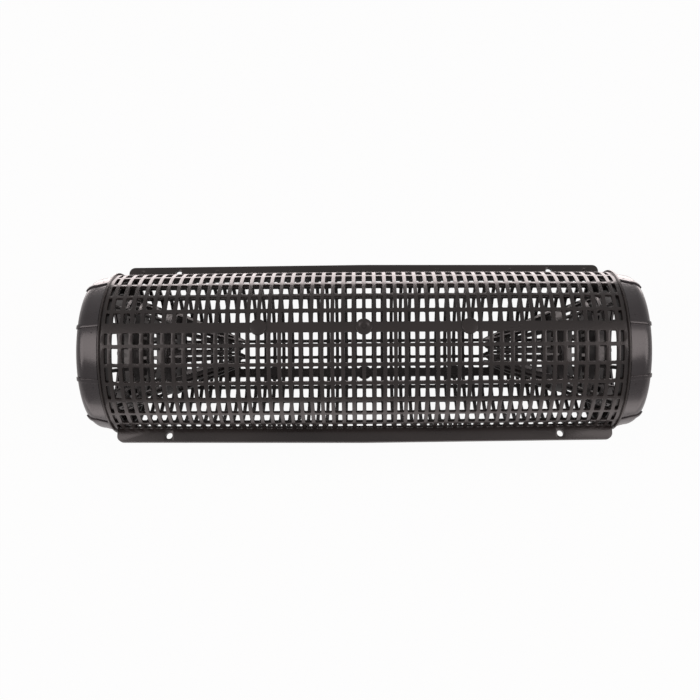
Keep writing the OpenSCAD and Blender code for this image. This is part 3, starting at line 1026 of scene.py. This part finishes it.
def in_funnel_window(place):
    """Whether a place on the flat fan lies in a window of the funnel."""
    from_rib = abs(math.degrees(cone_angle(place)) % RIB_STEP - RIB_STEP / 2)
    return inside(place.x, FUNNEL_ROWS) and from_rib > rib_half(place.x) + RIB_MARGIN


fan_lines = [HINGE_X + FACE_GAP] + [x for row in FUNNEL_ROWS for x in row] + [FUNNEL_END]
fan = ruled_grid(fan_lines, range(RIB_COUNT * LINES_PER_RIB + 1))
for vert in fan.verts:
    degrees = fan_angle(round(vert.co.y), vert.co.x)
    vert.co.y = math.radians(degrees) * cone_radius(vert.co.x)
print("corners rounded:", open_windows(fan, in_funnel_window, FUNNEL_CORNER))

# %% [markdown]
# The fan gets its wall as the tube's sheet did, which also closes the two sides
# that will meet. They could be left, but the rolled rib would hide two walls
# inside, and its seam would be bevelled as an edge. So those walls are deleted
# before the edges are softened, and remove_doubles joins the seam once the fan
# is rolled up.

# %% Thickness, and rolling up the fan
FUNNEL_SOFT = 0.28 * MM
STANDING = 0.5
SEAM_MARGIN, SEAM_MERGE = 1e-4, 0.02 * MM


def on_seam(face, seams):
    """Whether a face stands along one of the fan's two sides."""
    return abs(face.normal.z) < STANDING and any(
        all(abs(cone_angle(vert.co) - seam) < SEAM_MARGIN for vert in face.verts) for seam in seams
    )


angles = [cone_angle(vert.co) for vert in fan.verts]
two_sides = (min(angles), max(angles))
thicken(fan, FUNNEL_WALL)
seam_walls = [face for face in fan.faces if on_seam(face, two_sides)]
bmesh.ops.delete(fan, geom=seam_walls, context="FACES_ONLY")
soften(fan, FUNNEL_SOFT)
for vert in fan.verts:
    skin = cone_radius(vert.co.x) + FUNNEL_WALL / 2
    vert.co = around(vert.co.x, cone_angle(vert.co), skin + vert.co.z)
bmesh.ops.remove_doubles(fan, verts=fan.verts, dist=SEAM_MERGE)
bmesh.ops.recalc_face_normals(fan, faces=fan.faces)
print("open edges after the seam is joined:", sum(edge.is_boundary for edge in fan.edges))

# %% [markdown]
# The wide end of the funnel has three jobs: a rounded nose fills the space
# under the cap's lip, a sleeve carries the cap as it turns, and a plug slides
# into the tube. Three separate rings would be easy to draw but would have to be
# fitted together. One spun outline has them all, and where it meets the cap or
# the tube it takes that neighbour's size less a clearance, so nothing rubs.

# %% Nose, sleeve and plug
PLUG_PLAY, SLEEVE_PLAY = 0.06 * MM, 0.08 * MM
PLUG_R, SLEEVE_R = TUBE_END_R - WALL - PLUG_PLAY, CAP_BORE - SLEEVE_PLAY
PLUG_LENGTH = 7 * MM
PLUG_START = TUBE_HALF - PLUG_LENGTH
SLEEVE_END = STEP_X - FACE_GAP
SLEEVE_WALL, RIM_T, RIM_SOFT = 1.7 * MM, 1.8 * MM, 0.2 * MM
NOSE_STEPS, RIM_STEPS = 6, 144


def rim_outline():
    """Closed outline of the nose, sleeve and plug as (radius, x)."""
    inner = SLEEVE_R - SLEEVE_WALL
    rim = SLEEVE_END - RIM_T
    return (
        [(cone_radius(FUNNEL_END) - FUNNEL_WALL / 2, FUNNEL_END)]
        + shoulder(NOSE_R, NOSE_ANGLE, 0, NOSE_STEPS)
        + [(SHOULDER_CENTRE + NOSE_R, SLEEVE_END), (SLEEVE_R, SLEEVE_END)]
        + [(SLEEVE_R, TUBE_HALF - FACE_GAP), (PLUG_R, TUBE_HALF - FACE_GAP)]
        + [(PLUG_R, PLUG_START), (inner, PLUG_START), (inner, rim)]
        + [(cone_radius(rim) - FUNNEL_WALL / 2, rim)]
    )


rim_ring = arc_solid(rim_outline(), 0, FULL_TURN, RIM_STEPS, RIM_SOFT)
print("sleeve radius", round(SLEEVE_R / MM, 2), "plug radius", round(PLUG_R / MM, 2), "mm")

# %% [markdown]
# On the real funnel the cone and its wide end are one moulding, so the ring is
# added to the cone's mesh. It could also be a second object that is parented,
# but a part that never comes off should be one piece. The left funnel is a
# copy that gets the same half turn as the left cap.

# %% The two funnels
add(fan, rim_ring)
left_fan = at_left(fan.copy())
piece("right_cone", fan, FUNNEL_BLACK, "right_funnel", "right_funnel")
piece("left_cone", left_fan, FUNNEL_BLACK, "left_funnel", "left_funnel")

# %% [markdown]
# Eight fingers carry the cone on to the throat. Each is a little ladder whose
# two rails run into one point. A plain taper could give its width, but then
# the gaps between neighbours would come out as they may. So the gap is chosen,
# and the width is what the cone's radius leaves for each of the eight.

# %% Sizes of a finger
FINGER_COUNT = RIB_COUNT // 2
GAP_AT_ROOT, GAP_AT_TIP = 1.6 * MM, 3.6 * MM
RAIL_ROOT_W, RAIL_TIP_W = 4 * MM, 1 * MM
RUNG_COUNT, RUNG_W = 2, 1.5 * MM
ROOT_LEN, TIP_LEN = 1.8 * MM, 7.2 * MM
TILT = math.atan(CONE_SLOPE)
FINGER_LEN = (HINGE_X - TIP_MIDDLE_X) / math.cos(TILT)


def finger_width(u):
    """Half width of the finger at a distance from its root."""
    radius = cone_radius(HINGE_X - u * math.cos(TILT))
    gap = GAP_AT_ROOT + (GAP_AT_TIP - GAP_AT_ROOT) * u / FINGER_LEN
    return radius * math.tan(math.pi / FINGER_COUNT) - gap / 2


def slot_width(u):
    """Half width of the slot between the rails."""
    return finger_width(u) - RAIL_ROOT_W + (RAIL_ROOT_W - RAIL_TIP_W) * u / FINGER_LEN


def finger_slots():
    """Start and end of the slots between the rungs."""
    length = (FINGER_LEN - TIP_LEN - ROOT_LEN - RUNG_COUNT * RUNG_W) / (RUNG_COUNT + 1)
    starts = [ROOT_LEN + i * (length + RUNG_W) for i in range(RUNG_COUNT + 1)]
    return [(u, u + length) for u in starts]


SLOTS = finger_slots()
print("finger", round(FINGER_LEN / MM, 1), "mm long with", len(SLOTS), "slots")

# %% [markdown]
# In its mould a finger is a flat plate with three slots. They could be cut with
# booleans, but the helper that opened the tube's windows needs only four lines
# here: the finger's two edges and the inner edges of its rails. A slot that
# closed to nothing would leave faces without area, so both the slot and the
# rail keep a least width.

# %% A finger ruled flat
POINT_LEN = 2.9 * MM
LEAST_SLOT, LEAST_RAIL = 0.25 * MM, 0.5 * MM
SLOT_CORNER = 0.35 * MM
EDGE_LINE, RAIL_LINE = 2, 1


def in_finger_slot(place):
    """Whether a place on the flat finger lies in a slot."""
    return inside(place.x, SLOTS) and abs(place.y) < slot_width(place.x) / 2


finger_lines = [0.0] + [u for slot in SLOTS for u in slot] + [FINGER_LEN - POINT_LEN]
blank = ruled_grid(finger_lines, [-EDGE_LINE, -RAIL_LINE, RAIL_LINE, EDGE_LINE])
for vert in blank.verts:
    edge = finger_width(vert.co.x)
    if round(abs(vert.co.y)) == RAIL_LINE:
        edge = min(max(slot_width(vert.co.x), LEAST_SLOT), edge - LEAST_RAIL)
    vert.co.y = math.copysign(edge, vert.co.y)
print("corners rounded:", open_windows(blank, in_finger_slot, SLOT_CORNER))

# %% [markdown]
# The point could be the last row of the grid, squeezed narrow. Extruding the
# front edges and pulling the new vertices together does the same and leaves
# the ruling simple. The finger then gets its wall, half above and half below
# its middle, and soft edges.

# %% Point, thickness and soft edges
FINGER_T, FINGER_SOFT = 1.6 * MM, 0.3 * MM
POINT_SHARE = 0.15

front = max(vert.co.x for vert in blank.verts)
front_edges = [edge for edge in blank.edges if all(vert.co.x > front - HAIR for vert in edge.verts)]
drawn_out = bmesh.ops.extrude_edge_only(blank, edges=front_edges)["geom"]
for vert in [item for item in drawn_out if isinstance(item, bmesh.types.BMVert)]:
    vert.co = Vector((FINGER_LEN, vert.co.y * POINT_SHARE, 0))
thicken(blank, FINGER_T)
bmesh.ops.translate(blank, vec=(0, 0, FINGER_T / 2), verts=blank.verts)
soften(blank, FINGER_SOFT)
print("flat finger:", len(blank.faces), "faces")

# %% [markdown]
# A fish pushes the fingers apart, and they spring back. On the real trap thin
# plastic bends at their root, but here each turns about one line, so its root
# is rolled into a small rod on that line. A rod looks the same at every angle,
# while a square root would show its corners as the finger swings.

# %% Rolled root
ROOT_R, ROOT_SIDES, ROOT_SOFT = 1 * MM, 24, 0.2 * MM

root = bmesh.new()
bmesh.ops.create_cone(
    root, cap_ends=True, segments=ROOT_SIDES, radius1=ROOT_R, radius2=ROOT_R,
    depth=2 * finger_width(0), matrix=Matrix.Rotation(math.pi / 2, 4, "X"),
)
soften(root, ROOT_SOFT)
add(blank, root)
print("root rod", round(2 * finger_width(0) / MM, 1), "mm long")

# %% [markdown]
# All sixteen fingers have the same shape. An Array modifier with an empty could
# place eight at once, but each finger has to move by itself, so each is its own
# object. A copy of the blank is tilted to the cone's slope, moved out
# to the hinge and turned round the axis. The change is made to the vertices,
# so that every object keeps its origin at the middle of the trap.

# %% Place the fingers
FINGER_STEP = FULL_TURN / FINGER_COUNT


def finger(k):
    """One finger at its place round the right funnel's throat."""
    bm = blank.copy()
    place = (
        Matrix.Rotation(math.radians((k - 1) * FINGER_STEP), 4, "X")
        @ Matrix.Translation((HINGE_X, 0, cone_radius(HINGE_X)))
        @ Matrix.Rotation(math.pi - TILT, 4, "Y")
    )
    bmesh.ops.transform(bm, matrix=place, verts=bm.verts)
    return bm


for k in range(1, FINGER_COUNT + 1):
    node = f"right_finger_{k}"
    piece(f"right_point_{k}", finger(k), FINGER_BLACK, node, node)
    node = f"left_finger_{k}"
    piece(f"left_point_{k}", at_left(finger(k)), FINGER_BLACK, node, node)
blank.free()
